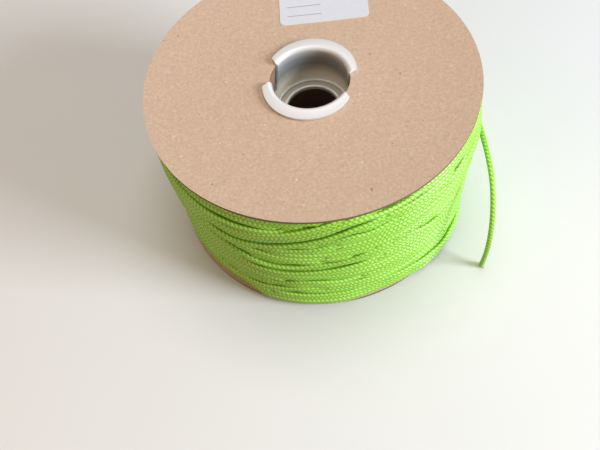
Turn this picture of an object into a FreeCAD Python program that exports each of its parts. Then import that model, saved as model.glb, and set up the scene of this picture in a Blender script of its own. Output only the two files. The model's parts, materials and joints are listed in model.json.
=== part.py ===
import FreeCAD, Part
import math
import os

import Sketcher

# A full reel of braided cord standing on its lower flange. Two fibreboard discs are pinned to a paper
# tube by two moulded hubs. The cord is wound on the tube until it stands a little proud of the discs.
# Millimetres. The origin is on the floor, under the reel's axis, and +Z is that axis.

Vector = FreeCAD.Vector
UP = Vector(0, 0, 1)

SIZES = [
    # The two discs and the reel's outside
    ("reel_height", 90.3, "floor to the upper disc's rim"),
    ("flange_radius", 82.5, "both discs"),
    ("board", 1.6, "thickness of the fibreboard"),
    ("dish", 2.8, "how far the full winding has bent each rim outwards"),
    ("flat_radius", 27.5, "the disc stays flat inside this radius"),
    ("board_bore", 19.9, "radius of the hole in each disc"),
    # The paper tube
    ("tube_bore", 20.0, "radius"),
    ("tube_wall", 2.6, "spiral-wound paper"),
    # The moulded hubs
    ("hub_gap", 0.2, "from the disc's hole to the hub's wall"),
    ("hub_wall", 1.0, "wall of the cup"),
    ("cup_depth", 23.2, "top of the lip to the ledge"),
    ("lip_height", 1.9, "of the lip above the board"),
    ("lip_edge", 1.3, "thickness of the lip at its outer edge"),
    ("lip_roll", 2.2, "radius that rolls the wall over into the lip"),
    ("lip_arc", 22.3, "radius of each lip's outer edge"),
    ("lip_shift", 3.7, "from the reel's axis to the centre of that edge"),
    ("lip_turn", 72.0, "degrees from +X to the middle of one lip"),
    ("slot_half", 6.0, "half the width of the slot between the lips"),
    ("slot_foot", 1.4, "half the width of the slot at its foot, because it narrows downwards"),
    ("slot_depth", 13.0, "of the slot below the board's face"),
    ("lip_end_angle", 42.0, "degrees that a lip's end leans back from the slot"),
    ("step_height", 1.2, "of the ring moulded round the foot of the cup"),
    ("step_width", 0.9, "of that ring"),
    ("ledge", 1.0, "thickness of the cup's floor"),
    ("arbor_radius", 13.5, "hole for a spindle"),
    ("bead_width", 1.4, "bead round the spindle's hole"),
    ("bead_rise", 1.15, "of the bead above the ledge"),
    ("bead_round", 0.5, "height of the round on the bead's top"),
    ("rib_count", 8, "crush ribs that grip the paper tube"),
    ("rib_width", 1.2, "of a crush rib"),
    ("rib_gap", 0.05, "from a rib to the tube"),
    ("rib_length", 9.0, "of a crush rib"),
    # The cord
    ("cord", 2.7, "diameter"),
    ("pitch", 3.556, "from one turn to the next"),
    ("winding_inset", 1.3, "from the discs' rims in to the lower turns' centreline"),
    ("layer_rise", 2.4, "how much further out the last layer lies"),
    ("low_end", 200.0, "degrees from +X to where the lower turns stop"),
    ("exit_height", 58.6, "where the free end leaves the last turn, above +X"),
    ("soft_gap", 0.3, "from the winding to what it lies on"),
    # The paper label
    ("label_width", 46.5, "along X"),
    ("label_height", 34.0, "along Y"),
    ("label_paper", 0.15, "thickness"),
    ("label_corner", 3.0, "radius of its corners"),
    ("label_x", 11.7, "of the label's centre"),
    ("label_inset", 27.4, "from the disc's rim in to the label's centre, along Y"),
    ("label_turn", -1.8, "degrees"),
]

# Route of the free end after it leaves the last turn: level at first, then down to the floor.
# X counts from the last layer's centreline, Y from the reel's axis and Z from the floor.
TAIL_ROUTE = [
    (0.0, -20.0, 58.46),
    (-0.2, -38.0, 58.9),
    (-0.5, -52.0, 55.2),
    (-0.8, -61.0, 45.5),
    (-1.1, -66.6, 34.5),
    (-1.4, -69.8, 21.5),
    (-1.6, -70.2, 10.5),
    (-1.7, -70.0, 0.3),
]

doc = FreeCAD.newDocument("line_spool")
sheet = doc.addObject("Spreadsheet::Sheet", "Sizes")
for row, (alias, value, note) in enumerate(SIZES, start=1):
    sheet.set(f"A{row}", alias)
    sheet.set(f"B{row}", str(value))
    sheet.set(f"C{row}", note)
    sheet.setAlias(f"B{row}", alias)
doc.recompute()

parts = []

# Points on the cord are this far apart, and turns this many diameters, when its gaps are measured
GAP_STEP = 4.0
GAP_SKIP = 10

# Each arc of the free end starts at this share of the shorter run from its corner
CORNER_SHARE = 0.45


def size(name):
    """A driving size as a number."""
    return float(sheet.get(name))


def formula(text):
    """The formula with each size's name pointing at the sheet."""
    for alias in sorted((entry[0] for entry in SIZES), key=len, reverse=True):
        text = " ".join(
            f"Sizes.{alias}" if word == alias else word for word in text.split(" ")
        )
    return text


def value_of(text):
    """A formula worked out, as a number."""
    result = sheet.evalExpression(formula(text))
    return float(getattr(result, "Value", result))


# Formulas that several pieces share. A name and an operator always have a space between them.
WALL_OUT = "( board_bore - hub_gap )"
WALL_IN = "( board_bore - hub_gap - hub_wall )"
LEDGE_TOP = "( lip_height - cup_depth )"
LEDGE_FOOT = "( lip_height - cup_depth - ledge )"
BEAD_TOP = "( lip_height - cup_depth + bead_rise )"
LIP_REACH = "( lip_arc + lip_shift )"
LIP_BLANK = "( lip_arc + lip_shift + lip_edge )"
TUBE_OUT = "( tube_bore + tube_wall )"
SEAT = "( reel_height - dish )"
BEND = "( ( ( flange_radius - flat_radius ) ^ 2 + dish ^ 2 ) / ( 2 * dish ) )"
LOW_TURNS = "( flange_radius - winding_inset )"
HIGH_TURNS = "( flange_radius - winding_inset + layer_rise )"
LOW_CORE = f"( {LOW_TURNS} - cord / 2 - soft_gap )"
HIGH_CORE = f"( {HIGH_TURNS} - cord / 2 - soft_gap )"


def dished(radius, offset):
    """Height of the dished face at a radius, where offset is measured inwards from the board's outer face."""
    bend = f"( {BEND} + {offset} )"
    return f"( {bend} - sqrt( {bend} ^ 2 - ( {radius} - flat_radius ) ^ 2 ) - {offset} )"


def bind(item, prop, text):
    """Ties a property to a formula."""
    item.setExpression(prop, formula(text))


def named(item, label):
    """Keeps a finished piece under the name of its node."""
    item.Label = label
    parts.append(item)
    return item


def place(item, height, flip=False):
    """Puts a piece at a height on the axis. A flipped piece hangs upside down, turned about X."""
    turn = FreeCAD.Rotation(Vector(1, 0, 0), 180 if flip else 0)
    item.Placement = FreeCAD.Placement(Vector(0, 0, 0), turn)
    bind(item, "Placement.Base.z", height)


def origin_of(body, role):
    """One of the body's own planes or axes."""
    return [item for item in body.Origin.OriginFeatures if item.Role == role][0]


def sketch_on(body, name, role="XZ_Plane"):
    """An empty sketch on one of the body's own planes."""
    sketch = body.newObject("Sketcher::SketchObject", name)
    sketch.AttachmentSupport = [(origin_of(body, role), "")]
    sketch.MapMode = "FlatFace"
    return sketch


def pin_point(sketch, side, end, at):
    """Holds one end of a side at a pair of formulas."""
    for kind, text in zip(("DistanceX", "DistanceY"), at):
        index = sketch.addConstraint(
            Sketcher.Constraint(kind, -1, 1, side, end, value_of(text))
        )
        bind(sketch, f"Constraints[{index}]", text)


def draw(sketch, points, arcs=None):
    """A closed outline through pairs of formulas.

    arcs holds, for each side that is an arc, its radius and whether it runs clockwise."""
    arcs = arcs or {}
    count = len(points)
    at = [Vector(value_of(x), value_of(y), 0) for x, y in points]
    ends = []
    for number in range(count):
        first, last = at[number], at[(number + 1) % count]
        if number not in arcs:
            ends.append((sketch.addGeometry(Part.LineSegment(first, last)), 1, 2))
            continue
        text, clockwise = arcs[number]
        radius = value_of(text)
        middle = (first + last) / 2
        chord = last - first
        across = Vector(-chord.y, chord.x, 0).normalize()
        deep = math.sqrt(max(radius**2 - (chord.Length / 2) ** 2, 0))
        centre = middle - across * deep if clockwise else middle + across * deep
        start, stop = (last, first) if clockwise else (first, last)
        angles = [math.atan2(p.y - centre.y, p.x - centre.x) for p in (start, stop)]
        circle = Part.Circle(centre, UP, radius)
        side = sketch.addGeometry(Part.ArcOfCircle(circle, *angles))
        ends.append((side, 2, 1) if clockwise else (side, 1, 2))
    for number, (side, first, last) in enumerate(ends):
        following = ends[(number + 1) % count]
        sketch.addConstraint(
            Sketcher.Constraint("Coincident", side, last, following[0], following[1])
        )
        pin_point(sketch, side, first, points[number])
        if number in arcs:
            index = sketch.addConstraint(
                Sketcher.Constraint("Radius", side, value_of(arcs[number][0]))
            )
            bind(sketch, f"Constraints[{index}]", arcs[number][0])


def spin(body, name, points, arcs=None, cut=False):
    """Turns an outline in the XZ plane about the reel's axis, as a solid or as a cut."""
    sketch = sketch_on(body, f"{name}_outline")
    draw(sketch, points, arcs)
    feature = body.newObject(
        "PartDesign::Groove" if cut else "PartDesign::Revolution", name
    )
    feature.Profile = sketch
    feature.ReferenceAxis = (sketch, ["V_Axis"])
    feature.Angle = 360
    return feature


def ring_of(body, feature, count):
    """Repeats a feature round the reel's axis."""
    pattern = body.newObject("PartDesign::PolarPattern", f"{feature.Name}_ring")
    pattern.Originals = [feature]
    pattern.Axis = (origin_of(body, "Z_Axis"), [""])
    pattern.Angle = 360
    if isinstance(count, str):
        bind(pattern, "Occurrences", count)
    else:
        pattern.Occurrences = count
    body.Tip = pattern
    return pattern


def make_flange(label, height, flip):
    """A fibreboard disc, flat round the hub and bent gently outwards to its rim."""
    body = doc.addObject("PartDesign::Body", label)
    inner = dished("flange_radius", "board")
    points = [
        ("board_bore", "0"),
        ("board_bore", "-1 * board"),
        ("flat_radius", "-1 * board"),
        ("flange_radius", inner),
        ("flange_radius", "dish"),
        ("flat_radius", "0"),
    ]
    arcs = {2: (f"( {BEND} + board )", False), 4: (BEND, True)}
    spin(body, f"{label}_disc", points, arcs)
    place(body, height, flip)
    return named(body, label)


def make_tube():
    """The paper tube that holds the two discs apart."""
    body = doc.addObject("PartDesign::Body", "core_tube")
    foot = "( dish + board )"
    head = "( reel_height - dish - board )"
    points = [
        ("tube_bore", foot),
        (TUBE_OUT, foot),
        (TUBE_OUT, head),
        ("tube_bore", head),
    ]
    spin(body, "tube_wall", points)
    return named(body, "core_tube")


def make_hub(label, height, flip):
    """A moulded hub: a cup whose ledge has a beaded spindle hole, and two lips rolled over the disc."""
    body = doc.addObject("PartDesign::Body", label)
    step_top = f"( {LEDGE_TOP} + step_height )"
    bead_out = "( arbor_radius + bead_width )"
    bead_side = f"( {BEAD_TOP} - bead_round )"
    points = [
        (WALL_OUT, "0"),
        (LIP_BLANK, "0"),
        (LIP_BLANK, "lip_edge"),
        (f"( {WALL_IN} + lip_roll )", "lip_height"),
        (WALL_IN, "( lip_height - lip_roll )"),
        (WALL_IN, step_top),
        (f"( {WALL_IN} - step_width )", step_top),
        (f"( {WALL_IN} - step_width )", LEDGE_TOP),
        (bead_out, LEDGE_TOP),
        (bead_out, bead_side),
        ("arbor_radius", bead_side),
        ("arbor_radius", LEDGE_FOOT),
        (WALL_OUT, LEDGE_FOOT),
    ]
    crown = "( ( ( bead_width / 2 ) ^ 2 + bead_round ^ 2 ) / ( 2 * bead_round ) )"
    arcs = {3: ("lip_roll", False), 9: (crown, False)}
    spin(body, f"{label}_shell", points, arcs)
    trim_lips(body, label)
    part_lips(body, label)
    cut_slots(body, label)
    add_ribs(body, label)
    place(body, height, flip)
    return named(body, label)


def turned(along, across):
    """A point in the plane of the lips, with one lip's middle along lip_turn degrees."""
    cosine = "cos( lip_turn * 1 deg )"
    sine = "sin( lip_turn * 1 deg )"
    return (
        f"( {along} * {cosine} - {across} * {sine} )",
        f"( {along} * {sine} + {across} * {cosine} )",
    )


def trim_lips(body, label):
    """Cuts the round lip back to two arcs whose centres are shifted apart, each drawn as two halves."""
    meet = "sqrt( lip_arc ^ 2 - lip_shift ^ 2 )"
    reach = f"( {LIP_BLANK} + lip_height )"
    for number, sign in enumerate(("", "-1 * "), start=1):
        sketch = sketch_on(body, f"{label}_lip_{number}", "XY_Plane")
        points = [
            turned("0", f"( {sign}{meet} )"),
            turned(f"( {sign}{LIP_REACH} )", "0"),
            turned("0", f"( {sign}-1 * {meet} )"),
            turned("0", f"( {sign}-1 * {reach} )"),
            turned(f"( {sign}{reach} )", f"( {sign}-1 * {reach} )"),
            turned(f"( {sign}{reach} )", f"( {sign}{reach} )"),
            turned("0", f"( {sign}{reach} )"),
        ]
        draw(sketch, points, {0: ("lip_arc", True), 1: ("lip_arc", True)})
        pocket = body.newObject("PartDesign::Pocket", f"{label}_lip_cut_{number}")
        pocket.Profile = sketch
        pocket.Reversed = True
        bind(pocket, "Length", "lip_height")


def part_lips(body, label):
    """Cuts the gaps between the two lips, whose ends lean back from them."""
    sketch = sketch_on(body, f"{label}_gap_outline", "XY_Plane")
    near = f"( {WALL_IN} / 2 )"
    neck = f"( {WALL_OUT} - hub_wall )"
    far = f"( {LIP_BLANK} + lip_height )"
    wide = f"( slot_half + ( {far} - {neck} ) / tan( lip_end_angle * 1 deg ) )"
    points = [
        turned("( -1 * slot_half )", near),
        turned("slot_half", near),
        turned("slot_half", neck),
        turned(wide, far),
        turned(f"( -1 * {wide} )", far),
        turned("( -1 * slot_half )", neck),
    ]
    draw(sketch, points)
    pocket = body.newObject("PartDesign::Pocket", f"{label}_gap")
    pocket.Profile = sketch
    pocket.Reversed = True
    bind(pocket, "Length", "lip_height")
    doc.recompute()
    ring_of(body, pocket, 2)


def cut_slots(body, label):
    """Cuts the slot below each gap, which narrows downwards. One outline goes through both walls."""
    sketch = sketch_on(body, f"{label}_slot_outline")
    sketch.AttachmentOffset = FreeCAD.Placement(Vector(), FreeCAD.Rotation(Vector(0, 1, 0), size("lip_turn")))
    bind(sketch, "AttachmentOffset.Rotation.Angle", "lip_turn")
    points = [
        ("( -1 * slot_half )", "lip_height"),
        ("( -1 * slot_half )", "0"),
        ("( -1 * slot_foot )", "( -1 * slot_depth )"),
        ("slot_foot", "( -1 * slot_depth )"),
        ("slot_half", "0"),
        ("slot_half", "lip_height"),
    ]
    draw(sketch, points)
    pocket = body.newObject("PartDesign::Pocket", f"{label}_slot")
    pocket.Profile = sketch
    pocket.SideType = "Symmetric"
    bind(pocket, "Length", f"( 2 * {LIP_BLANK} + 2 * lip_height )")


def add_ribs(body, label):
    """Crush ribs low on the cup's outside, which bite into the paper tube."""
    sketch = sketch_on(body, f"{label}_rib_outline", "XY_Plane")
    bind(sketch, "AttachmentOffset.Base.z", LEDGE_FOOT)
    inside = f"( {WALL_OUT} - hub_wall / 2 )"
    outside = "( tube_bore - rib_gap )"
    half = "( rib_width / 2 )"
    points = [
        (f"( -1 * {half} )", inside),
        (half, inside),
        (half, outside),
        (f"( -1 * {half} )", outside),
    ]
    draw(sketch, points)
    pad = body.newObject("PartDesign::Pad", f"{label}_rib")
    pad.Profile = sketch
    bind(pad, "Length", "rib_length")
    doc.recompute()
    ring_of(body, pad, "rib_count")


def make_label():
    """The paper label, pasted on the upper disc and bent with it."""
    body = doc.addObject("PartDesign::Body", "label")
    sketch = sketch_on(body, "label_outline", "XY_Plane")
    half_w = "( label_width / 2 )"
    half_h = "( label_height / 2 )"
    side_w = "( label_width / 2 - label_corner )"
    side_h = "( label_height / 2 - label_corner )"
    corners = [
        (half_w, f"-1 * {side_h}"),
        (half_w, side_h),
        (side_w, half_h),
        (f"-1 * {side_w}", half_h),
        (f"-1 * {half_w}", side_h),
        (f"-1 * {half_w}", f"-1 * {side_h}"),
        (f"-1 * {side_w}", f"-1 * {half_h}"),
        (side_w, f"-1 * {half_h}"),
    ]
    draw(sketch, corners, {side: ("label_corner", False) for side in (1, 3, 5, 7)})
    sketch.AttachmentOffset = FreeCAD.Placement(Vector(), FreeCAD.Rotation(UP, size("label_turn")))
    bind(sketch, "AttachmentOffset.Base.x", "label_x")
    bind(sketch, "AttachmentOffset.Base.y", "( flange_radius - label_inset )")
    bind(sketch, "AttachmentOffset.Rotation.Angle", "label_turn")
    pad = body.newObject("PartDesign::Pad", "label_block")
    pad.Profile = sketch
    bind(pad, "Length", "( dish + 2 * label_paper )")
    far = "( flange_radius + board )"
    above = "( dish + board )"
    under = [
        ("flat_radius", "0"),
        (far, dished(far, "0")),
        (far, "-1 * board"),
        ("flat_radius", "-1 * board"),
    ]
    over = [
        ("flat_radius", "label_paper"),
        ("flat_radius", above),
        (far, above),
        (far, dished(far, "( -1 * label_paper )")),
    ]
    spin(body, "label_under", under, {0: (BEND, False)}, cut=True)
    spin(body, "label_over", over, {3: (f"( {BEND} - label_paper )", True)}, cut=True)
    place(body, SEAT)
    return named(body, "label")


def make_inner_layers():
    """All the layers under the outer turns, as one plain core between the discs."""
    body = doc.addObject("PartDesign::Body", "inner_layers")
    radius_in = f"( {TUBE_OUT} + soft_gap )"
    inside = "( board + soft_gap )"
    foot = f"( dish + {inside} )"
    head = f"( reel_height - dish - {inside} )"
    step = "( exit_height - pitch / 2 )"
    low_foot = f"( dish - {dished(LOW_CORE, inside)} )"
    high_head = f"( reel_height - dish + {dished(HIGH_CORE, inside)} )"
    points = [
        (radius_in, foot),
        ("flat_radius", foot),
        (LOW_CORE, low_foot),
        (LOW_CORE, step),
        (HIGH_CORE, step),
        (HIGH_CORE, high_head),
        ("flat_radius", head),
        (radius_in, head),
    ]
    bend = f"( {BEND} + {inside} )"
    spin(body, "inner_block", points, {1: (bend, True), 5: (bend, True)})
    return named(body, "inner_layers")


def helix_point(radius, angle, height):
    """A point of a turn."""
    return Vector(radius * math.cos(angle), radius * math.sin(angle), height)


def biarc(start, start_way, stop, stop_way):
    """Two arcs that join two points and leave each along its own direction."""
    span = stop - start
    both = start_way + stop_way
    bend = 2 * (1 - start_way.dot(stop_way))
    along = span.dot(both)
    reach = (math.sqrt(along**2 + bend * span.dot(span)) - along) / bend
    corner_a = start + start_way * reach
    corner_b = stop - stop_way * reach
    middle = (corner_a + corner_b) / 2
    return [
        arc_along(start, start_way, middle),
        arc_along(middle, (corner_b - corner_a).normalize(), stop),
    ]


def arc_along(start, way, stop):
    """The arc from start to stop that leaves start along way."""
    chord = stop - start
    side = (chord - way * chord.dot(way)).normalize()
    turn = math.atan2(chord.dot(side), chord.dot(way))
    radius = chord.Length / (2 * math.sin(turn))
    centre = start + side * radius
    halfway = centre - side * (radius * math.cos(turn)) + way * (radius * math.sin(turn))
    return Part.Arc(start, halfway, stop)


def tube_along(edges, diameter):
    """A round tube along a path of tangent lines and arcs."""
    path = Part.Wire([edge.toShape() for edge in edges])
    first = edges[0]
    start = first.value(first.FirstParameter)
    way = first.tangent(first.FirstParameter)[0]
    ring = Part.Wire([Part.Circle(start, way, diameter / 2).toShape()])
    return path.makePipeShell([ring], True, False)


def least_gap(edges, diameter):
    """The least clear space between turns, measured on points along the path."""
    points = []
    travelled = 0.0
    for edge in edges:
        length = edge.length()
        count = max(2, int(length / GAP_STEP))
        for step in range(count):
            along = length * step / count
            spot = edge.value(edge.parameterAtDistance(along, edge.FirstParameter))
            points.append((travelled + along, spot))
        travelled += length
    nearest = None
    for number, (first_at, first) in enumerate(points):
        for second_at, second in points[number + 1 :]:
            if second_at - first_at < GAP_SKIP * diameter:
                continue
            gap = first.distanceToPoint(second) - diameter
            if nearest is None or gap < nearest:
                nearest = gap
    return nearest, travelled


def make_turns(label, radius, start_height, stop_height, stop_angle):
    """One open run of turns, clockwise as seen from above, straight at each end. Returns its last point."""
    diameter = size("cord")
    turns = abs(stop_height - start_height) / size("pitch")
    halves = max(1, round(2 * turns))
    rise = (stop_height - start_height) / halves
    start_angle = stop_angle + math.pi * halves

    def at(number):
        return helix_point(
            radius, start_angle - math.pi * number, start_height + rise * number
        )

    def way(number):
        angle = start_angle - math.pi * number
        flat = Vector(math.sin(angle), -math.cos(angle), 0) * (math.pi * radius)
        return (flat + Vector(0, 0, rise)).normalize()

    edges = [Part.LineSegment(at(0) - way(0) * diameter, at(0))]
    for number in range(halves):
        edges += biarc(at(number), way(number), at(number + 1), way(number + 1))
    last = at(halves) + way(halves) * diameter
    edges.append(Part.LineSegment(at(halves), last))
    item = doc.addObject("Part::Feature", label)
    item.Shape = tube_along(edges, diameter)
    item.Placement = FreeCAD.Placement()
    gap, length = least_gap(edges, diameter)
    print(f"{label}: {halves / 2} turns, cord {length:.0f} mm, least gap to itself {gap:.2f} mm")
    named(item, label)
    return last


def make_tail(start):
    """The free end: straight runs joined by tangent arcs, as large as the runs allow."""
    diameter = size("cord")
    outwards = Vector(value_of(HIGH_TURNS), 0, 0)
    route = [start] + [outwards + Vector(*point) for point in TAIL_ROUTE]
    edges = []
    begin = route[0]
    for number in range(1, len(route) - 1):
        before = (route[number] - route[number - 1]).normalize()
        after = (route[number + 1] - route[number]).normalize()
        run = min(
            (route[number] - route[number - 1]).Length,
            (route[number + 1] - route[number]).Length,
        )
        half_turn = before.getAngle(after) / 2
        cut = CORNER_SHARE * run
        first = route[number] - before * cut
        last = route[number] + after * cut
        edges.append(Part.LineSegment(begin, first))
        edges.append(arc_along(first, before, last))
        begin = last
        print(f"cord_tail: point {number}, radius {cut / math.tan(half_turn):.0f} mm")
    edges.append(Part.LineSegment(begin, route[-1]))
    item = doc.addObject("Part::Feature", "cord_tail")
    item.Shape = tube_along(edges, diameter)
    item.Placement = FreeCAD.Placement()
    length = sum(edge.length() for edge in edges)
    section = math.pi * diameter**2 / 4
    share = item.Shape.Volume / (section * length)
    print(f"cord_tail: length {length:.1f} mm, volume over section times length {share:.4f}")
    return named(item, "cord_tail")


def make_cord():
    """The outer turns and the free end, in the order in which the cord lies on the reel."""
    diameter = size("cord")
    clear = "( board + soft_gap + cord / 2 )"
    first_height = value_of(f"( dish - {dished(LOW_TURNS, clear)} )")
    low_top = size("exit_height") - size("pitch")
    low_end = math.radians(size("low_end"))
    make_turns("lower_turns", value_of(LOW_TURNS), first_height, low_top, low_end)
    top_height = size("reel_height") - value_of(clear)
    leaves = make_turns("upper_turns", value_of(HIGH_TURNS), top_height, size("exit_height"), 0.0)
    make_tail(leaves)


def export():
    """Checks every object and writes one file for each piece."""
    doc.recompute()
    for item in doc.Objects:
        if "Invalid" in item.State or "Error" in item.State:
            raise RuntimeError(f"{item.Name} didn't compute: {item.State}")
    os.makedirs("parts", exist_ok=True)
    for item in parts:
        shape = item.Shape
        if shape.isNull() or not shape.isValid() or not shape.Solids:
            raise RuntimeError(f"{item.Label} has no valid solid")
        print(f"{item.Label}: {len(shape.Solids)} solid, {shape.Volume:.1f} mm3")
        shape.exportStep(f"parts/{item.Label}.step")


make_flange("bottom_flange", "dish", True)
make_flange("top_flange", SEAT, False)
make_tube()
make_hub("bottom_hub", "dish", True)
make_hub("top_hub", SEAT, False)
make_label()
make_inner_layers()
make_cord()
export()
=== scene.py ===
import json
import math

import bpy
import numpy as np
from mathutils import Matrix, Vector


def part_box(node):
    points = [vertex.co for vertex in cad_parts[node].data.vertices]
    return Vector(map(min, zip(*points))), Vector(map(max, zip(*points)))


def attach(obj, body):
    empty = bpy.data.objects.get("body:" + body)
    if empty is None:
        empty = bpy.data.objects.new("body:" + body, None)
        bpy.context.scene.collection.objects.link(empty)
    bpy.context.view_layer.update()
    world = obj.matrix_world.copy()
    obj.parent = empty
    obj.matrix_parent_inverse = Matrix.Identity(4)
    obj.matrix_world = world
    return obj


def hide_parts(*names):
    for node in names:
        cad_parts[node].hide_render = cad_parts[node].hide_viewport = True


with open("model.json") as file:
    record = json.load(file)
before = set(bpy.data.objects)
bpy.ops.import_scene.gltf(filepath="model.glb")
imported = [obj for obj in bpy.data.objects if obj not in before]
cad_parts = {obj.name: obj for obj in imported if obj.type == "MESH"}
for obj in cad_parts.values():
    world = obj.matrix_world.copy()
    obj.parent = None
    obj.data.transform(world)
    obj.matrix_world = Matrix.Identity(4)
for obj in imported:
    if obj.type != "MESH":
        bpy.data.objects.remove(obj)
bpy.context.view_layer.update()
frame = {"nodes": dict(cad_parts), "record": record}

# A full reel of lime green braided cord: two dished fibreboard discs on a paper tube, a moulded hub
# pushed into each, a pasted label and the wound cord with its free end hanging to the floor.
# Metres. Degrees round the reel count from +X, so that -90 faces the camera.

MM = 0.001

# Sizes read from the frame
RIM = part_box("top_flange")[1].x
REEL_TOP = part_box("top_flange")[1].z
BOARD_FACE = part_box("label")[0].z
TUBE_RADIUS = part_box("core_tube")[1].x

# The board's thickness, how far its middle lies in from its rim, and the cord's thickness
BOARD = 1.6 * MM
DISH = REEL_TOP - BOARD_FACE
CORD = 2.7 * MM

# The braid: eight strands, four of each hand, each over two and under two, so that a strand of each hand
# shows by turns and the cord looks like a row of arrowheads. The photograph is too coarse to count strands,
# so eight is a guess. A pick is the length in which the pattern moves on by one strand.
PICK = 2.24 * MM
STRANDS_OF_ONE_HAND = 4
RINGS_PER_PICK = 4

# How far a strand's crown stands over its edges and how far it weaves up and down, how long it stays up
# before it goes under (1 is a plain wave), and by how much of a strand the pattern is moved on
STRAND_SWELL = 0.11 * MM
STRAND_WEAVE = 0.10 * MM
FLOAT_LENGTH = 1.3
FLOAT_MIDDLE = 0.5

# The winding: level turns side by side, and the most turns that one mesh holds
LANES = 31
PIECE_TURNS = 7

# Lengths of the slow waves that make the cord uneven: the spacing of its picks, how it is rolled, how high
# and how far out a level turn lies, how much one turn lies over the next, and how a crossing turn sways
PICK_WAVES = (83 * MM, 137 * MM)
ROLL_WAVES = (47 * MM, 71 * MM, 160 * MM)
HEIGHT_WAVES = (61 * MM, 97 * MM, 173 * MM)
DEPTH_WAVES = (53 * MM, 89 * MM, 149 * MM)
STEP_WAVES = (240 * MM,)
CROSSING_WAVES = (67 * MM, 103 * MM)


def smooth(low, high, x):
    """0 below low and 1 above high, with a smooth step between."""
    t = np.clip((x - low) / (high - low), 0, 1)
    return t * t * (3 - 2 * t)


def wander(along, lengths):
    """A slow uneven wave between -1 and 1 along the cord, made of waves of these lengths."""
    return sum(np.sin(2 * math.pi * along / length + length / MM) for length in lengths) / len(lengths)


# Materials


def paint(hex_colour):
    """Turns an sRGB hex colour into the linear colour that shaders take."""
    parts = [int(hex_colour[i : i + 2], 16) / 255 for i in (1, 3, 5)]
    return [p / 12.92 if p <= 0.04045 else ((p + 0.055) / 1.055) ** 2.4 for p in parts] + [1]


def socket_of(sockets, key):
    """The socket with this number or identifier."""
    if isinstance(key, int):
        return sockets[key]
    return next(socket for socket in sockets if socket.identifier == key)


def add(tree, kind, sockets=None, output=0, **settings):
    """Adds a node with its settings and links, and returns one of its outputs, if it has any. sockets gives
    inputs, by number or identifier, a value or the output that they are linked to."""
    made = tree.nodes.new("ShaderNode" + kind)
    for name, value in settings.items():
        setattr(made, name, value)
    for key, value in (sockets or {}).items():
        socket = socket_of(made.inputs, key)
        if isinstance(value, bpy.types.NodeSocket):
            tree.links.new(value, socket)
        else:
            socket.default_value = value
    return socket_of(made.outputs, output) if len(made.outputs) else None


def new_material(name):
    """An empty material and its tree."""
    material = bpy.data.materials.new(name)
    material.use_nodes = True
    material.node_tree.nodes.clear()
    return material, material.node_tree


def in_millimetres(tree):
    """The reel's own coordinates in millimetres."""
    coordinates = add(tree, "TexCoord", output="Object")
    return add(tree, "VectorMath", {0: coordinates, "Scale": 1 / MM}, operation="SCALE")


# Heights on the braid, from -1 for the edge of a strand that is under to 2 for the crown of one that is
# over, between which the colour goes from the crossings' to the flanks', and on to the crowns'. The flanks'
# green stands for the cord's dye; the deeper green of the crossings is painted shade and the pale green of
# the crowns a painted highlight.
CROSSING_SHADE_HEIGHTS = (0.3, 1.3)
CROWN_HIGHLIGHT_HEIGHTS = (1.5, 2.0)


def braided_fibre():
    """Continuous-filament polypropylene, dyed in the melt and braided: each strand is a smooth bundle of one
    green, with painted shade that deepens it in the crossings and a painted highlight that makes its crown
    pale. Its filaments are too fine to show."""
    material, tree = new_material("polypropylene_filament_braided")
    braid = add(tree, "Attribute", output="Vector", attribute_name="braid")
    place = add(tree, "SeparateXYZ", {0: braid}).node
    across, along = place.outputs[0], place.outputs[1]
    heights = []
    for one, other, sign in (("SUBTRACT", "ADD", 1), ("ADD", "SUBTRACT", -1)):
        own = add(tree, "Math", {0: across, 1: along}, operation=one)
        crossing = add(tree, "Math", {0: across, 1: along}, operation=other)
        strand = add(tree, "Math", {0: own}, operation="ROUND")
        beside = add(tree, "Math", {0: own, 1: strand}, operation="SUBTRACT")
        turn = add(tree, "Math", {0: crossing, 1: strand}, operation="ADD")
        turn = add(tree, "Math", {0: turn, 1: math.pi / 2, 2: -FLOAT_MIDDLE * math.pi / 2},
                   operation="MULTIPLY_ADD")
        wave = add(tree, "Math", {0: turn}, operation="COSINE")
        wave = add(tree, "Math", {0: wave, 1: sign * FLOAT_LENGTH}, operation="MULTIPLY")
        over = add(tree, "Clamp", {"Value": wave, "Min": -1.0, "Max": 1.0})
        square = add(tree, "Math", {0: beside, 1: beside}, operation="MULTIPLY")
        crown = add(tree, "Math", {0: square, 1: -4.0, 2: 1.0}, operation="MULTIPLY_ADD", use_clamp=True)
        crown = add(tree, "Math", {0: crown}, operation="SQRT")
        heights.append(add(tree, "Math", {0: crown, 1: over}, operation="ADD"))
    height = add(tree, "Math", {0: heights[0], 1: heights[1]}, operation="MAXIMUM")
    # Painted shade in the crossings, the dyed green on the flanks and a painted highlight on the crowns
    colour = paint("#62A000")
    for (low, high), tint in ((CROSSING_SHADE_HEIGHTS, "#92CE0C"), (CROWN_HIGHLIGHT_HEIGHTS, "#BEF284")):
        share = add(tree, "MapRange", {"Value": height, "From Min": low, "From Max": high})
        colour = add(tree, "Mix", {"Factor_Float": share, "A_Color": colour, "B_Color": paint(tint)},
                     output="Result_Color", data_type="RGBA")
    bump = add(tree, "Bump", {"Height": height, "Distance": 0.1 * MM, "Strength": 1.0})
    shader = add(tree, "BsdfPrincipled", {
        "Base Color": colour, "Roughness": 0.42, "Specular IOR Level": 0.55, "Normal": bump,
        "Sheen Weight": 0.08, "Sheen Roughness": 0.3, "Sheen Tint": paint("#F0FFF8"),
    })
    add(tree, "OutputMaterial", {"Surface": shader})
    return material


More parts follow.
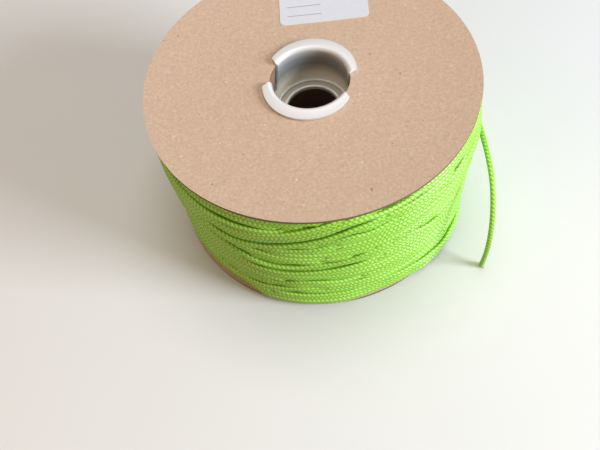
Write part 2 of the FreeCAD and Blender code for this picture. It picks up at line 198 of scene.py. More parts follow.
# Sizes in mm of the board's clumps of fibre, of its wide clouds of tone, and of the grids that its flecks and
# specks are strewn on, and how far the specks' grid is moved off the flecks'. Single fibres are too fine to
# show, so the pulp is drawn as the clumps that they lie in.
PULP_CLUMP = 10 / 7
PULP_CLOUD = 6.25
FLECK_GRID = 2.0
SPECK_GRID = 2.5
SPECK_SHIFT = (40, 90, 0)


def pressed_board():
    """Pressed paper fibreboard, uncoated and die cut: matt kraft faces mottled by the pulp, with light
    flecks and dark specks, and a darker brown wherever its faces stand upright, as at its cut edges."""
    material, tree = new_material("kraft_fibreboard_pressed")
    spot = in_millimetres(tree)
    shifted = add(tree, "VectorMath", {0: spot, 1: SPECK_SHIFT})
    pulp = add(tree, "TexNoise", {"Vector": spot, "Scale": 1 / PULP_CLUMP, "Detail": 5.0, "Roughness": 0.65})
    cloud = add(tree, "TexNoise", {"Vector": spot, "Scale": 1 / PULP_CLOUD, "Detail": 3.0})
    fleck = add(tree, "TexNoise", {"Vector": spot, "Scale": 1 / FLECK_GRID, "Detail": 1.0})
    speck = add(tree, "TexNoise", {"Vector": shifted, "Scale": 1 / SPECK_GRID, "Detail": 1.0})
    normal = add(tree, "NewGeometry", output="True Normal")
    lean = add(tree, "SeparateXYZ", {0: normal}, output="Z")
    lean = add(tree, "Math", {0: lean}, operation="ABSOLUTE")
    colour = paint("#BDA086")
    for pattern, low, high, most, tint in (
        (pulp, 0.3, 0.7, 1.0, "#D8BEA4"),
        (cloud, 0.35, 0.65, 0.4, "#CDAA90"),
        (fleck, 0.72, 0.8, 0.6, "#F2E2CC"),
        (speck, 0.755, 0.8, 0.7, "#8A6C56"),
        # Faces that stand upright, the cut edges, are drawn a darker brown
        (lean, 0.6, 0.4, 1.0, "#7C6450"),
    ):
        share = add(tree, "MapRange", {"Value": pattern, "From Min": low, "From Max": high, "To Max": most})
        colour = add(tree, "Mix", {"Factor_Float": share, "A_Color": colour, "B_Color": paint(tint)},
                     output="Result_Color", data_type="RGBA")
    bump = add(tree, "Bump", {"Height": pulp, "Distance": 0.06 * MM, "Strength": 0.6})
    shader = add(tree, "BsdfPrincipled", {"Base Color": colour, "Roughness": 0.86, "Normal": bump})
    add(tree, "OutputMaterial", {"Surface": shader})
    return material


# Sizes in mm of the clumps of fibre in the tube's paper and in the label's, where single fibres are too fine
# to show as well
TUBE_CLUMP = 5 / 6
LABEL_CLUMP = 1.25


def wound_paper():
    """Spiral-wound paper tube, plain: pinkish brown and matt, with a fine mottle of fibres."""
    material, tree = new_material("spiral_wound_paper")
    fibre = add(tree, "TexNoise", {"Vector": in_millimetres(tree), "Scale": 1 / TUBE_CLUMP, "Detail": 4.0})
    tones = {"Factor_Float": fibre, "A_Color": paint("#7A5C4E"), "B_Color": paint("#9A7868")}
    colour = add(tree, "Mix", tones, output="Result_Color", data_type="RGBA")
    bump = add(tree, "Bump", {"Height": fibre, "Distance": 0.05 * MM, "Strength": 0.5})
    shader = add(tree, "BsdfPrincipled", {"Base Color": colour, "Roughness": 0.9, "Normal": bump})
    add(tree, "OutputMaterial", {"Surface": shader})
    return material


# Colour of the hubs' plastic at these heights in mm from the reel's middle plane, from the lip down to the
# ledge. The tones were adjusted to bring the cup near to its look in the photograph. The real moulding is
# most
# likely one colour: its white shows at the lip and again towards the foot and its step, while the grey from
# the lip's roll down the cup and the slightly darker ledge under the step are painted shade, which won't
# follow other lamps.
HUB_TONE_AND_PAINTED_SHADE = [
    (44.2, "#E8E6E4"),
    (43.6, "#D0CECC"),
    (42.6, "#B4B2B0"),
    (41.2, "#9C9C9C"),
    (38.5, "#7E8082"),
    (34.0, "#7E7E7A"),
    (30.5, "#B4AEA2"),
    (27.5, "#E4DCCA"),
    (23.2, "#FAF2E4"),
    (22.3, "#FFFFFC"),
    (22.05, "#FFFFFC"),
    (21.7, "#DCD4C4"),
    (21.0, "#D2CABA"),
]

# Rings round the foot of the cup, such as a turned mould leaves: how far apart they are drawn in mm, so as
# to show, and the heights between which they come up
RING_PITCH = 1.1
RINGS_NONE = 29.0
RINGS_FULL = 25.0


def moulded_plastic():
    """Injection-moulded polyethylene, natural white with a soft shine: white lips, a cup greyed by painted
    shade with rings at its foot, and a white step and bead on a ledge that painted shade makes a little
    darker."""
    material, tree = new_material("polyethylene_injection_moulded")
    up = add(tree, "SeparateXYZ", {0: in_millimetres(tree)}, output="Z")
    high = add(tree, "Math", {0: up, 1: -REEL_TOP / MM / 2}, operation="ADD")
    high = add(tree, "Math", {0: high}, operation="ABSOLUTE")
    top, foot = HUB_TONE_AND_PAINTED_SHADE[0][0], HUB_TONE_AND_PAINTED_SHADE[-1][0]
    level = add(tree, "MapRange", {"Value": high, "From Min": foot, "From Max": top})
    # The ramp keeps the plastic's white at the lip and the step, and paints shade down the cup and on the
    # ledge
    tones = add(tree, "ValToRGB", {"Fac": level}).node
    stops = tones.color_ramp.elements
    # A new ramp has two stops
    for i, (height, tone) in enumerate(reversed(HUB_TONE_AND_PAINTED_SHADE)):
        position = (height - foot) / (top - foot)
        if i < 2:
            stop = stops[i]
            stop.position = position
        else:
            stop = stops.new(position)
        stop.color = paint(tone)
    low = add(tree, "MapRange", {"Value": high, "From Min": RINGS_NONE, "From Max": RINGS_FULL})
    rings = add(tree, "Math", {0: high, 1: 2 * math.pi / RING_PITCH}, operation="MULTIPLY")
    rings = add(tree, "Math", {0: rings}, operation="SINE")
    rings = add(tree, "Math", {0: rings, 1: low}, operation="MULTIPLY")
    bump = add(tree, "Bump", {"Height": rings, "Distance": 0.05 * MM, "Strength": 0.7})
    shader = add(tree, "BsdfPrincipled", {
        "Base Color": tones.outputs["Color"], "Roughness": 0.36, "IOR": 1.5, "Normal": bump,
    })
    add(tree, "OutputMaterial", {"Surface": shader})
    return material


# The label's ruled lines, in mm: where they cross x = 0, their middle, length and width, and their tilt
RULED_LINES = (50.94, 44.47)
RULED_MIDDLE = 1.1
RULED_LENGTH = 18.0
RULED_WIDTH = 0.35
RULED_TILT = 0.031


def pasted_paper():
    """Smooth white label paper, pasted down, with two ruled lines."""
    material, tree = new_material("label_paper_printed")
    spot = in_millimetres(tree)
    fibre = add(tree, "TexNoise", {"Vector": spot, "Scale": 1 / LABEL_CLUMP, "Detail": 3.0})
    tones = {"Factor_Float": fibre, "A_Color": paint("#D2D4DC"), "B_Color": paint("#DEDFE6")}
    colour = add(tree, "Mix", tones, output="Result_Color", data_type="RGBA")
    place = add(tree, "SeparateXYZ", {0: spot}).node
    side, up = place.outputs[0], place.outputs[1]
    level = add(tree, "Math", {0: side, 1: RULED_TILT, 2: up}, operation="MULTIPLY_ADD")
    from_middle = add(tree, "Math", {0: side, 1: RULED_MIDDLE}, operation="SUBTRACT")
    from_middle = add(tree, "Math", {0: from_middle}, operation="ABSOLUTE")
    inside = add(tree, "Math", {0: from_middle, 1: RULED_LENGTH / 2}, operation="LESS_THAN")
    for height in RULED_LINES:
        near = add(tree, "Math", {0: level, 1: height, 2: RULED_WIDTH / 2}, operation="COMPARE")
        near = add(tree, "Math", {0: near, 1: inside}, operation="MULTIPLY")
        colour = add(tree, "Mix", {"Factor_Float": near, "A_Color": colour, "B_Color": paint("#85878F")},
                     output="Result_Color", data_type="RGBA")
    shader = add(tree, "BsdfPrincipled", {"Base Color": colour, "Roughness": 0.6})
    add(tree, "OutputMaterial", {"Surface": shader})
    return material


CORD_FIBRE = braided_fibre()
NODE_MATERIALS = {
    "board": pressed_board(),
    "tube_paper": wound_paper(),
    "hub_plastic": moulded_plastic(),
    "label_paper": pasted_paper(),
    "cord": CORD_FIBRE,
}


def finish_nodes():
    """Gives each CAD node the material of its slot."""
    for entry in frame["record"]["subparts"]:
        node = frame["nodes"][entry["node"]]
        node.data.materials.clear()
        node.data.materials.append(NODE_MATERIALS[entry["material_slot"]])


# The cord


def braid_height(across, along):
    """The braid's surface over its mean radius. At each point the higher of the two crossing strands
    shows. across counts strands of one hand round the cord, and along counts picks."""
    highest = -1
    for own, crossing, sign in ((across - along, across + along, 1), (across + along, across - along, -1)):
        strand = np.rint(own)
        crown = np.sqrt(np.clip(1 - 4 * (own - strand) ** 2, 0, 1))
        over = np.clip(sign * FLOAT_LENGTH * np.cos(math.pi / 2 * (crossing + strand - FLOAT_MIDDLE)), -1, 1)
        highest = np.maximum(highest, STRAND_SWELL * crown + STRAND_WEAVE * over)
    return highest


def cord_mesh(name, points, faces, braid):
    """A smooth-shaded mesh of cord in the reel's frame. braid gives each corner of each face its place in the
    braid's pattern: strands across, picks along and a zero."""
    mesh = bpy.data.meshes.new(name)
    mesh.from_pydata(points, [], faces)
    mesh.materials.append(CORD_FIBRE)
    mesh.shade_smooth()
    mesh.attributes.new("braid", "FLOAT_VECTOR", "CORNER")
    mesh.attributes["braid"].data.foreach_set("vector", np.array(braid, np.float32).ravel())
    made = bpy.data.objects.new(name, mesh)
    bpy.context.scene.collection.objects.link(made)
    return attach(made, "root")


def braided_tube(name, centres, outward, picks, across, roll=0, swell=1, slant=0):
    """A braided cord round a centreline. centres has a ring's centre for each value of picks, outward the
    direction in which its column 0 faces, and across the places round the cord that get a point. roll turns
    a ring, swell widens it, and slant draws its side that faces away from outward back along the cord."""
    ahead = np.gradient(centres, axis=0)
    ahead /= np.linalg.norm(ahead, axis=1, keepdims=True)
    outward = outward - ahead * np.sum(outward * ahead, axis=1, keepdims=True)
    outward /= np.linalg.norm(outward, axis=1, keepdims=True)
    beside = np.cross(ahead, outward)
    round_cord = across * 2 * math.pi / STRANDS_OF_ONE_HAND
    angle = round_cord[None, :] + np.zeros((len(centres), 1)) + np.reshape(roll, (-1, 1))
    lift = braid_height(across[None, :], picks[:, None])
    radius = (CORD / 2 - STRAND_SWELL - STRAND_WEAVE / 2 + lift) * np.reshape(swell, (-1, 1))
    ring = outward[:, None, :] * np.cos(angle)[..., None] + beside[:, None, :] * np.sin(angle)[..., None]
    drawn_back = ahead[:, None, :] * (np.reshape(slant, (-1, 1)) * (1 - np.cos(angle)) / 2)[..., None]
    points = (centres[:, None, :] + ring * radius[..., None] - drawn_back).reshape(-1, 3)
    rings, count = len(centres), len(across)
    first = np.arange(rings - 1)[:, None] * count
    here = np.arange(count)[None, :]
    then = (here + 1) % count
    corners = [first + here, first + count + here, first + count + then, first + then]
    quads = np.stack(corners, axis=-1).reshape(-1, 4)
    ends = [list(range(count)), list(range(rings * count - 1, (rings - 1) * count - 1, -1))]
    closing = np.append(across, across[0] + STRANDS_OF_ONE_HAND)
    next_ring = np.array([0, 1, 1, 0])
    braid = np.zeros((rings - 1, count, 4, 3), np.float32)
    braid[..., 0] = closing[np.array([[j, j, j + 1, j + 1] for j in range(count)])][None]
    braid[..., 1] = picks[:-1, None, None] + next_ring * np.diff(picks)[:, None, None]
    caps = np.zeros((2 * count, 3), np.float32)
    braid = np.concatenate([braid.reshape(-1, 3), caps])
    return cord_mesh(name, points.tolist(), quads.tolist() + ends, braid)


def round_reel(angle, radius, height):
    """Points round the reel's axis. angle is in degrees."""
    turn = np.radians(angle)
    return np.stack([radius * np.cos(turn), radius * np.sin(turn), height], axis=-1)


# Places round a wound cord that get a point: close together where it faces out, sparse where it is hidden
WOUND_ACROSS = np.array([-1.75, *np.arange(-1.25, 1.5, 0.25), 1.75]) - 0.25

# How the braid is rolled round the cord, and how much that and the spacing of its picks wander
WOUND_ROLL = math.radians(44)
ROLL_WANDER = math.radians(14)
PICK_WANDER = 0.4

# A level lane steps up to the next one at the back, from this angle and over these degrees. The layer starts
# one such step early, which is this share of a turn.
TRAVERSE_START = 60.0
TRAVERSE_TURN = 60.0
LEAD = TRAVERSE_TURN / 360

# How far out the level lanes' centrelines lie, in mm, at these heights and at these degrees round the reel.
# The values were adjusted against the photograph's outlines. The lowest lanes draw back from the
# disc's edge where it shows, and the highest ones tuck in under the rim at the left. At the back, where the
# table starts and ends, they are guesses.
LANE_HEIGHTS = (3, 8, 14, 20, 32, 46, 58, 69, 79, 88)
BACK_RADII = (81.0, 81.4, 81.8, 82.0, 82.0, 82.3, 82.4, 82.4, 81.6, 80.7)
LANE_RADII = {
    -300: BACK_RADII,
    -215: (80.8, 81.2, 81.5, 81.7, 81.4, 81.6, 81.9, 81.8, 80.6, 79.2),
    -160: (80.5, 80.7, 80.6, 80.3, 80.0, 80.8, 81.4, 81.6, 79.8, 78.2),
    -127: (79.4, 79.8, 80.6, 81.3, 81.4, 81.6, 81.8, 81.9, 81.4, 80.0),
    -114: (82.8, 82.8, 82.0, 81.4, 81.6, 81.8, 81.9, 82.0, 81.6, 80.4),
    -88: (82.1, 82.4, 82.0, 81.8, 81.8, 82.0, 82.2, 82.3, 82.0, 81.0),
    -72: (80.6, 81.2, 81.8, 82.1, 82.0, 82.1, 82.4, 82.6, 82.4, 81.6),
    -61: (81.3, 82.4, 82.4, 82.1, 82.0, 82.1, 82.5, 82.8, 82.6, 81.9),
    -52: (83.2, 84.2, 83.2, 82.2, 82.0, 82.1, 82.5, 82.8, 82.6, 81.9),
    -44: (84.0, 85.2, 83.9, 82.3, 82.0, 82.0, 82.5, 82.9, 82.5, 81.8),
    -33: (83.6, 84.5, 83.4, 82.3, 82.0, 81.9, 82.6, 83.2, 82.4, 81.6),
    -21: (81.8, 81.9, 81.8, 81.6, 81.9, 82.1, 82.6, 83.6, 82.0, 81.0),
    10: (81.4, 81.8, 81.9, 81.9, 82.2, 81.8, 82.5, 83.2, 81.8, 80.9),
    60: BACK_RADII,
}
FIRST_SIDE = min(LANE_RADII)


def level_radius(angle, height):
    """How far out the level lanes lie, eased between the sides of the reel."""
    sides = np.array(list(LANE_RADII))
    at_sides = np.array([np.interp(height / MM, LANE_HEIGHTS, radii) for radii in LANE_RADII.values()])
    after = np.clip(np.searchsorted(sides, angle), 1, len(sides) - 1)
    low, high = sides[after - 1], sides[after]
    share = smooth(0, 1, (angle - low) / (high - low))
    here = np.arange(len(angle))
    return (at_sides[after - 1, here] * (1 - share) + at_sides[after, here] * share) * MM


def wind(name, start, turns, place):
    """Winds clockwise, seen from above, in pieces of a few turns, and ends after exactly so many turns.
    place(angle, turn, along) gives the radius and height of the centreline, with the angle brought into the
    turn that LANE_RADII covers."""
    step = PICK / RINGS_PER_PICK
    around = 2 * math.pi * RIM
    total = int(turns * around / step)
    picks = np.arange(total + 1) / RINGS_PER_PICK
    along = PICK * (picks + PICK_WANDER * wander(picks * PICK, PICK_WAVES))
    along = along * (turns * around / along[-1])
    turn = along / around
    angle = start - 360 * turn
    radius, height = place((angle - FIRST_SIDE) % 360 + FIRST_SIDE, turn, along)
    centres = round_reel(angle, radius, height)
    outward = round_reel(angle, np.ones_like(angle), np.zeros_like(angle))
    roll = WOUND_ROLL + ROLL_WANDER * wander(along, ROLL_WAVES)
    pieces = math.ceil(turns / PIECE_TURNS)
    made = []
    for i in range(pieces):
        piece = f"{name}_{i + 1}"
        part = slice(total * i // pieces, total * (i + 1) // pieces + 1)
        made.append(braided_tube(piece, centres[part], outward[part], picks[part], WOUND_ACROSS, roll[part]))
    return made


# How much a level lane wanders up and down and in and out, and over what height it lies still beside a disc
LANE_SWAY = 0.25 * MM
LANE_DEPTH = 0.35 * MM
STILL_BAND = 6 * MM

# How much one lane lies further out than another, by how many radians that moves on from lane to lane, and
# by how many it wanders
LANE_STEP = 0.22 * MM
STEP_TURN = 2.3
STEP_WANDER = 1.2

# The share of a turn in which the layer's two ends sink into the rows under it, and how deep
SINK_TURN = 0.08
SINK_DEPTH = 3 * MM


def level_lanes(angle, turn, along):
    """The full layer: level turns side by side that step up one lane at the back. It starts one step early,
    and both of its ends sink in."""
    low = BOARD + CORD / 2
    rise = (REEL_TOP - 2 * low) / (LANES - 1)
    lane = np.clip(turn - LEAD, 0, LANES - 0.001)
    share = lane % 1
    height = low + rise * np.minimum(np.floor(lane) + smooth(1 - LEAD, 1, share), LANES - 1)
    free = smooth(0, STILL_BAND, np.minimum(height - low, REEL_TOP - low - height))
    height = height + LANE_SWAY * wander(along, HEIGHT_WAVES) * free
    radius = level_radius(angle, height) + LANE_DEPTH * wander(along, DEPTH_WAVES)
    eased_lane = lane - share * smooth(0, 1, 1 - share)
    radius = radius + LANE_STEP * np.sin(STEP_TURN * eased_lane + STEP_WANDER * wander(along, STEP_WAVES))
    end = LEAD + LANES
    sink = smooth(end - SINK_TURN, end, turn) + smooth(SINK_TURN, 0, turn)
    return radius - pressed_in(angle, height) - SINK_DEPTH * sink, height


# The last stretch of cord crosses the level lanes on its way up the reel, and dips under them between the
# places where the photograph shows it. For each turn, from the first to the last: degrees round the reel,
# height in mm, and how far out it lies over the level lanes. The last turn ends where the free end starts,
# and its knots past there only press in the lanes under the free end.
UNDER = -1.4
CROSSINGS = [
    [(60, 15, UNDER), (-15, 15, UNDER), (-30, 14, 0.4), (-35, 13.3, 0.7), (-41, 12.9, 0.8), (-51, 13.4, 0.8),
     (-56, 14, 0.8), (-62, 14.6, 0.7), (-74, 14.5, -0.2), (-84, 13.8, 0.5), (-100, 13.3, 0.7),
     (-110, 13.2, 0.6), (-118, 12.5, UNDER), (-220, 20, 0.4)],
    [(30, 22, UNDER), (-85, 20.5, UNDER), (-100, 20.2, 0.5), (-109, 18.4, 0.8), (-119, 15.4, 0.8),
     (-129, 18, 0.7), (-135, 21, 0.5), (-150, 24, UNDER), (-220, 26, 0.4)],
    [(30, 27, UNDER), (-70, 27, UNDER), (-87, 27.8, 0.6), (-96, 29.2, 0.7), (-104, 27.8, 0.8),
     (-111, 23.9, 0.7), (-122, 26, UNDER), (-220, 32, 0.4)],
    [(30, 40, UNDER), (-66, 45.5, UNDER), (-79, 44.7, 0.9), (-87, 43.7, 1.2), (-96, 42.4, 1.3),
     (-106, 40.2, 1.3), (-118, 39.2, 0.9), (-130, 42, UNDER), (-220, 46, 0.4)],
    [(30, 47, UNDER), (-36, 45.5, UNDER), (-46, 46.8, 0.9), (-54, 50, 1.1), (-59, 52.2, 0.8),
     (-66, 55, -0.6), (-72, 54.8, 0.2), (-79, 53.1, 0.6), (-83, 51.3, 0.7), (-88, 49.6, 0.6),
     (-96, 47.8, 0.3), (-103, 46.2, 0.8), (-111, 45.8, 1.1), (-116, 47.7, 1.1), (-121, 50.2, 1.0),
     (-126, 53, 0.8), (-134, 55.6, 0.3), (-150, 57, UNDER), (-220, 52, 0.4)],
    [(30, 56, UNDER), (-85, 55.6, UNDER), (-97, 56, 0.6), (-107, 56.4, 0.8), (-119, 58.2, 0.8),
     (-135, 60.5, 0.3), (-150, 61, UNDER)],
    [(30, 62, UNDER), (-82, 65.5, UNDER), (-90, 66, 0.3), (-94, 65.3, 0.6), (-106, 62.9, 0.6),
     (-118, 62.5, UNDER), (-220, 65, 0.4)],
    [(30, 79, UNDER), (-28, 79.5, UNDER), (-38, 78.1, 0.6), (-45, 76, 0.6), (-58, 74.5, UNDER), (-70, 74, 0),
     (-78, 73.5, 0.9), (-83, 74.1, 1.0), (-88, 72.7, 0.9), (-93, 71.2, 0.5), (-99, 70.3, UNDER),
     (-140, 68, UNDER), (-220, 70, 0.3)],
    [(30, 84, UNDER), (-66, 82, UNDER), (-76, 81.4, 0.6), (-83, 80, 1.0), (-92, 75.6, 1.2), (-101, 71.3, 1.3),
     (-111, 66.6, 1.4), (-122, 63.2, 1.4), (-130, 65.4, 1.1), (-140, 67, UNDER), (-220, 72, 0.3)],
    [(30, 86, UNDER), (-45, 84.6, UNDER), (-70, 85.6, 0.5), (-78, 85.8, 0.7), (-83, 84.9, 0.8),
     (-92, 80.4, 0.9), (-101, 76.1, 0.8), (-111, 71.4, 0.7), (-122, 68, 0.5), (-130, 70.2, 0.4),
     (-150, 71.6, 0.3), (-220, 75, 0.4)],
    [(30, 86.8, UNDER), (-70, 87, UNDER), (-80, 87.5, 0.5), (-84, 86.7, 1.0), (-92, 82.6, 1.2),
     (-101, 78.3, 1.2), (-111, 73.7, 1.2), (-122, 70.2, 1.1), (-130, 72.2, 0.8), (-150, 74.2, 0.3),
     (-220, 78, 0.3)],
    [(30, 87, UNDER), (-80, 87.5, UNDER), (-87, 87.2, 0.6), (-92, 85.0, 1.0), (-101, 80.9, 1.1),
     (-111, 76.3, 1.1), (-122, 72.9, 1.0), (-130, 74.8, 0.7), (-150, 76.8, 0.2), (-220, 80, UNDER)],
    [(30, 87, UNDER), (-88, 87.2, UNDER), (-99, 82, UNDER), (-105, 79.6, 0.3), (-111, 78.9, 0.8),
     (-118, 77.6, 0.9), (-126, 77.2, 0.8), (-150, 78, 0.3), (-200, 76, 0.6), (-240, 68, 0.7)],
    [(60, 62, 0.8), (30, 58.8, 0.9), (0, 58.58, 0.9), (-8, 58.58, 0.9), (-18, 58.58, UNDER)],
]

# Route of the free end: level out of the last turn, then down to the floor
TAIL_ROUTE = [
    (83.6, -2.7, 58.58),
    (83.6, -20, 58.46),
    (83.4, -38, 58.9),
    (83.1, -52, 55.2),
    (82.8, -61, 45.5),
    (82.5, -66.6, 34.5),
    (82.2, -69.8, 21.5),
    (82.0, -70.2, 10.5),
    (81.9, -70.0, 0.3),
]
EXIT_RADIUS = math.hypot(TAIL_ROUTE[0][0], TAIL_ROUTE[0][1]) * MM
EXIT_ANGLE = math.degrees(math.atan2(TAIL_ROUTE[0][1], TAIL_ROUTE[0][0]))

# How a cord lies where it crosses: its height is eased over these degrees to each side, in so many steps, its
# centre stands this much further out for each millimetre of the list, and the lanes under it give way until
# it lies on them
EASE = 4.0
EASE_STEPS = 17
LIFT = 1.35
BEDDED = 2.6 * MM

# Lanes closer than PRESSED_NEAR to a crossing cord give way in full, and those past PRESSED_FAR not at all.
# They begin to when it lies at PRESSED_LOW over them, and do so in full from PRESSED_HIGH.
PRESSED_NEAR = 1.6 * MM
PRESSED_FAR = 3.0 * MM
PRESSED_LOW = -0.6 * MM
PRESSED_HIGH = 0.3 * MM

# How much the crossing turns sway, and the degrees over which the last one eases out to the free end
CROSSING_SWAY = 0.15 * MM
ENDING = 40


def crossing_at(travelled):
    """Height of the last stretch and how far out it lies, in metres, eased between its knots. travelled is
    in degrees from its start."""
    knots = [
        (TRAVERSE_START - degrees + 360 * i, height, out)
        for i, knots_of_turn in enumerate(CROSSINGS)
        for degrees, height, out in knots_of_turn
    ]
    at, heights, outs = np.array(knots).T
    taps = np.linspace(-EASE, EASE, EASE_STEPS)
    weights = np.cos(taps / EASE * math.pi / 2) ** 2
    weights /= weights.sum()
    height = sum(w * np.interp(travelled + t, at, heights) for t, w in zip(taps, weights)) * MM
    out = sum(w * np.interp(travelled + t, at, outs) for t, w in zip(taps, weights)) * MM
    return height, out


def pressed_in(angle, height):
    """How far the level lanes are pressed in under the cords that cross over them."""
    deepest = np.zeros_like(height)
    for i in range(len(CROSSINGS)):
        over, out = crossing_at(TRAVERSE_START - angle + 360 * i)
        near = smooth(PRESSED_FAR, PRESSED_NEAR, np.abs(height - over))
        given = np.clip(BEDDED - LIFT * out, 0, None) * smooth(PRESSED_LOW, PRESSED_HIGH, out)
        deepest = np.maximum(deepest, near * given)
    return deepest


def crossing_turns(angle, turn, along):
    """Radius and height of the last stretch of cord, up to where the free end starts."""
    travelled = 360 * turn
    height, out = crossing_at(travelled)
    radius = level_radius(angle, height) + LIFT * out
    total = 360 * (len(CROSSINGS) - 1) + TRAVERSE_START - EXIT_ANGLE
    ending = smooth(total - ENDING, total, travelled)
    radius = radius * (1 - ending) + EXIT_RADIUS * ending
    height = height + CROSSING_SWAY * wander(along, CROSSING_WAVES) * (1 - ending)
    return radius, height


def winding():
    """The two layers of cord that show."""
    full = wind("full_layer", TRAVERSE_START + TRAVERSE_TURN, LANES + LEAD, level_lanes)
    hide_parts("lower_turns")
    turns = len(CROSSINGS) - 1 + (TRAVERSE_START - EXIT_ANGLE) / 360
    last = wind("last_turns", TRAVERSE_START, turns, crossing_turns)
    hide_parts("upper_turns")


# The cord under the two layers that show: how far in from the rim its rows lie, how far each swells, the
# points over a row and round the reel, and how far it stays from the boards and the tube
UNDER_DEPTH = 4.0 * MM
ROW_SWELL = 1.0 * MM
ROW_POINTS = 6
UNDER_SIDES = 144
UNDER_GAP = 0.3 * MM


def under_layer():
    """All the cord under the two layers that show, as rows round the reel that carry the braid's pattern."""
    rows = LANES - 1
    foot = BOARD + UNDER_GAP
    rise = (REEL_TOP - 2 * foot) / rows
    core = TUBE_RADIUS + UNDER_GAP
    outline = [(core, BOARD + DISH)]
    for i in range(rows * ROW_POINTS + 1):
        swell = abs(math.sin(math.pi * i / ROW_POINTS))
        outline.append((RIM - UNDER_DEPTH + ROW_SWELL * swell, foot + rise * i / ROW_POINTS))
    outline.append((core, REEL_TOP - BOARD - DISH))
    count = len(outline)
    points = [
        (r * math.cos(a), r * math.sin(a), z)
        for a in np.arange(UNDER_SIDES) * 2 * math.pi / UNDER_SIDES
        for r, z in outline
    ]
    faces = []
    braid = []
    picks = 2 * math.pi * RIM / PICK / UNDER_SIDES
    for i in range(UNDER_SIDES):
        here, there = i * count, (i + 1) % UNDER_SIDES * count
        start, end = i * picks, (i + 1) * picks
        for j in range(count):
            then = (j + 1) % count
            faces.append((here + j, there + j, there + then, here + then))
            across = 2 * j / ROW_POINTS
            after = across + 2 / ROW_POINTS
            braid += [(across, start, 0), (across, end, 0), (after, end, 0), (after, start, 0)]
    made = cord_mesh("under_layer", points, faces, braid)
    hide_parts("inner_layers")


def spline_points(route, step):
    """Evenly spaced points on the smooth curve that has the route as its control points, and its length."""
    curve = bpy.data.curves.new("route", "CURVE")
    curve.dimensions = "3D"
    curve.resolution_u = 32
    spline = curve.splines.new("NURBS")
    spline.points.add(len(route) - 1)
    for point, spot in zip(spline.points, route):
        point.co = (*[x * MM for x in spot], 1)
    spline.order_u = 3
    spline.use_endpoint_u = True
    carrier = bpy.data.objects.new("route", curve)
    line = bpy.data.meshes.new_from_object(carrier)
    fine = np.array([v.co[:] for v in line.vertices])
    bpy.data.objects.remove(carrier)
    bpy.data.curves.remove(curve)
    bpy.data.meshes.remove(line)
    run = np.append(0, np.cumsum(np.linalg.norm(np.diff(fine, axis=0), axis=1)))
    count = int(run[-1] / step)
    at = np.linspace(0, run[-1], count + 1)
    return np.stack([np.interp(at, run, fine[:, i]) for i in range(3)], axis=-1), run[-1]


# The free end's rings in a pick and points round it, how much and over what length its cut end flares, and
# how far and over what length the cut slants
TAIL_RINGS_PER_PICK = 6
TAIL_POINTS_ROUND = 24
FLARE = 0.3
FLARE_LENGTH = 3 * MM
SLANT = 2.6 * MM
SLANT_LENGTH = 6 * MM


def free_end():
    """The cord's free end, from the last turn to its cut end just over the floor."""
    centres, length = spline_points(TAIL_ROUTE, PICK / TAIL_RINGS_PER_PICK)
    picks = np.arange(len(centres)) / TAIL_RINGS_PER_PICK
    outward = np.tile([1.0, 0.0, 0.0], (len(centres), 1))
    across = np.arange(TAIL_POINTS_ROUND) / TAIL_POINTS_ROUND * STRANDS_OF_ONE_HAND
    run = picks / picks[-1] * length
    flare = 1 + FLARE * smooth(length - FLARE_LENGTH, length, run)
    slant = SLANT * np.clip((run - length) / SLANT_LENGTH + 1, 0, 1)
    made = braided_tube("free_end", centres, outward, picks, across, swell=flare, slant=slant)
    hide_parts("cord_tail")


# Camera, floor and light

# The camera, solved from the photograph: its place, the point that it looks at, its roll in degrees, its lens
# and sensor in mm, and how near it sees in metres
CAMERA_PLACE = Vector((0, -215.163, 320.732)) * MM
CAMERA_AIM = Vector((-11.070, -82.912, 90.3)) * MM
CAMERA_ROLL = -10.67
CAMERA_LENS = 37.8
CAMERA_SENSOR = 36
CAMERA_NEAREST = 0.01

FLOOR_REACH = 3.0

# Name, place and size in metres, power in watts and colour of each lamp, and the point that all face
LAMPS = [
    ("key", (1.105, -0.515, 0.5), 0.5, 23.8, "#EEF6FF"),
    ("overhead", (0.1, 0.25, 1.5), 0.9, 9.2, "#FFFFFF"),
    ("fill", (-0.85, -0.55, 0.45), 0.6, 3.0, "#FFC48A"),
]
LAMP_AIM = (0, 0, 0.05)
WORLD_COLOUR = "#F6EEE0"
WORLD_STRENGTH = 0.24


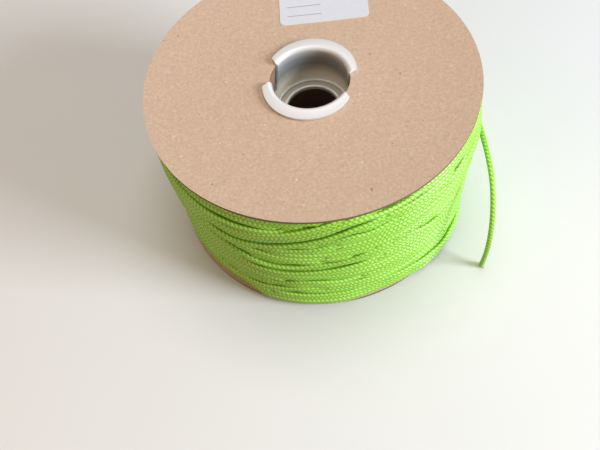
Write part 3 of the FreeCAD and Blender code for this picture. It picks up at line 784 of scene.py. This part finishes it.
def camera():
    """The photograph's point of view."""
    made = bpy.data.cameras.new("camera")
    made.lens = CAMERA_LENS
    made.sensor_width = CAMERA_SENSOR
    made.clip_start = CAMERA_NEAREST
    seen = bpy.data.objects.new("camera", made)
    facing = (CAMERA_AIM - CAMERA_PLACE).to_track_quat("-Z", "Y").to_matrix().to_4x4()
    roll = Matrix.Rotation(math.radians(CAMERA_ROLL), 4, "Z")
    seen.matrix_world = Matrix.Translation(CAMERA_PLACE) @ facing @ roll
    bpy.context.scene.collection.objects.link(seen)
    bpy.context.scene.camera = seen


def floor():
    """A plain floor, pale to the camera and in reflections, and darker for the light that it throws back."""
    mesh = bpy.data.meshes.new("floor")
    far = FLOOR_REACH
    corners = [(-far, -far, 0), (far, -far, 0), (far, far, 0), (-far, far, 0)]
    mesh.from_pydata(corners, [], [(0, 1, 2, 3)])
    made = bpy.data.objects.new("floor", mesh)
    bpy.context.scene.collection.objects.link(made)
    material, tree = new_material("studio_paper")
    path = add(tree, "LightPath").node.outputs
    seen = add(tree, "Math", {0: path["Is Camera Ray"], 1: path["Is Glossy Ray"]}, operation="ADD")
    seen = add(tree, "Math", {0: seen, 1: path["Is Transmission Ray"]}, operation="ADD", use_clamp=True)
    tones = {"Factor_Float": seen, "A_Color": paint("#6A6A68"), "B_Color": paint("#E4E3E1")}
    colour = add(tree, "Mix", tones, output="Result_Color", data_type="RGBA")
    shader = add(tree, "BsdfPrincipled", {"Base Color": colour, "Roughness": 0.9})
    add(tree, "OutputMaterial", {"Surface": shader})
    mesh.materials.append(material)


def lamp(name, place, size, power, colour):
    """A soft square lamp."""
    made = bpy.data.lights.new(name, "AREA")
    made.size = size
    made.energy = power
    made.color = paint(colour)[:3]
    seen = bpy.data.objects.new(name, made)
    seen.location = place
    seen.rotation_euler = (Vector(LAMP_AIM) - Vector(place)).to_track_quat("-Z", "Y").to_euler()
    seen.visible_camera = False
    bpy.context.scene.collection.objects.link(seen)


def studio():
    """A low soft light from the right, a soft one overhead, a faint warm fill at the left, a pale world."""
    world = bpy.data.worlds.new("studio")
    bpy.context.scene.world = world
    world.use_nodes = True
    background = world.node_tree.nodes["Background"]
    background.inputs["Color"].default_value = paint(WORLD_COLOUR)
    background.inputs["Strength"].default_value = WORLD_STRENGTH
    for name, place, size, power, colour in LAMPS:
        lamp(name, place, size, power, colour)
    bpy.context.scene.view_settings.view_transform = "Standard"


camera()
free_end()
winding()
under_layer()
finish_nodes()
floor()
studio()
